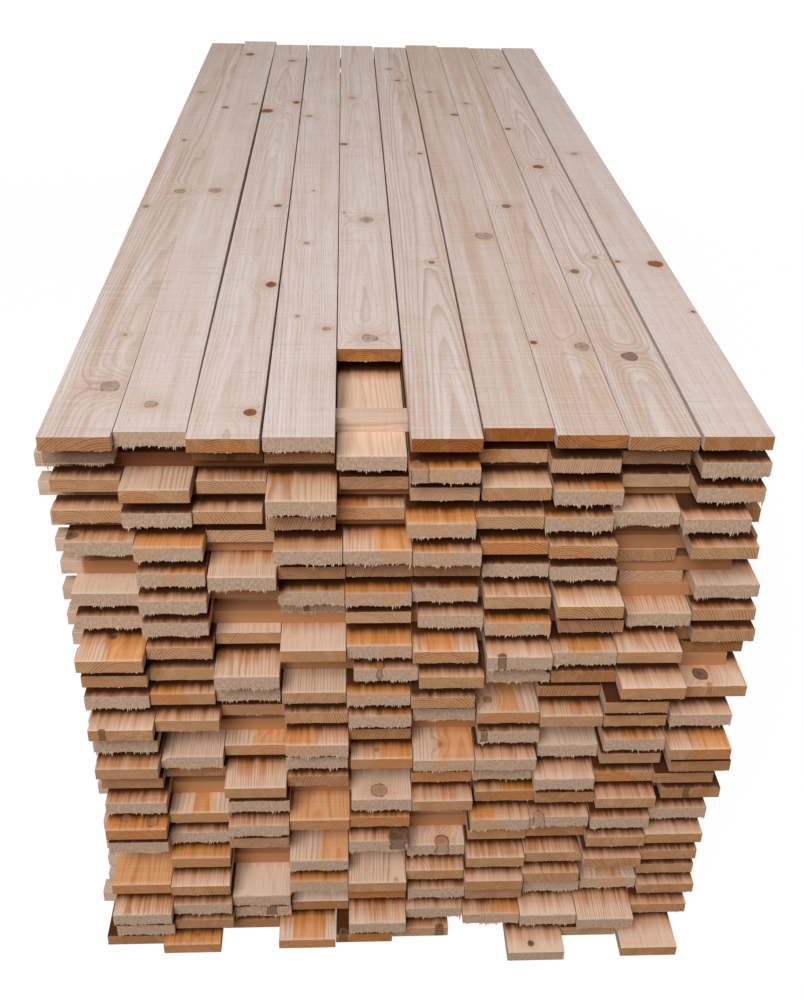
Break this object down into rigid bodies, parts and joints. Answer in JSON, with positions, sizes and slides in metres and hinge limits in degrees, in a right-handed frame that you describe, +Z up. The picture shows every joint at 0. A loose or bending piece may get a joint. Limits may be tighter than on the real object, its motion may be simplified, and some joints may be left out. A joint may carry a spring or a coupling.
{
  "type": "stack of lumber",
  "caption": "Stack of rough sawn softwood boards in layers, with laths laid across between them so that air can pass, one end ragged and one top board short",
  "frame": {"origin": "middle of the stack's box, on the floor it stands on", "axes": "+Y along the boards, away from the ragged front ends; +X to the right seen from the front; +Z up"},
  "size_m": [1.093, 2.655, 1.034],
  "materials": {
    "sawn_board": "rough sawn",
    "lath": "rough sawn"
  },
  "bodies": {
    "root": {"board_layer_01": "sawn_board", "board_layer_02": "sawn_board", "board_layer_03": "sawn_board", "board_layer_04": "sawn_board", "board_layer_05": "sawn_board", "board_layer_06": "sawn_board", "board_layer_07": "sawn_board", "board_layer_08": "sawn_board", "board_layer_09": "sawn_board", "board_layer_10": "sawn_board", "board_layer_11": "sawn_board", "board_layer_12": "sawn_board", "board_layer_13": "sawn_board", "board_layer_14": "sawn_board", "board_layer_15": "sawn_board", "board_layer_16": "sawn_board", "board_layer_17": "sawn_board", "board_layer_18": "sawn_board", "board_layer_19": "sawn_board", "board_layer_20": "sawn_board", "board_layer_21": "sawn_board", "board_layer_22": "sawn_board", "board_layer_23": "sawn_board", "lath_row_1": "lath", "lath_row_2": "lath", "lath_row_3": "lath", "lath_row_4": "lath", "lath_row_5": "lath"}
  },
  "joints": []
}
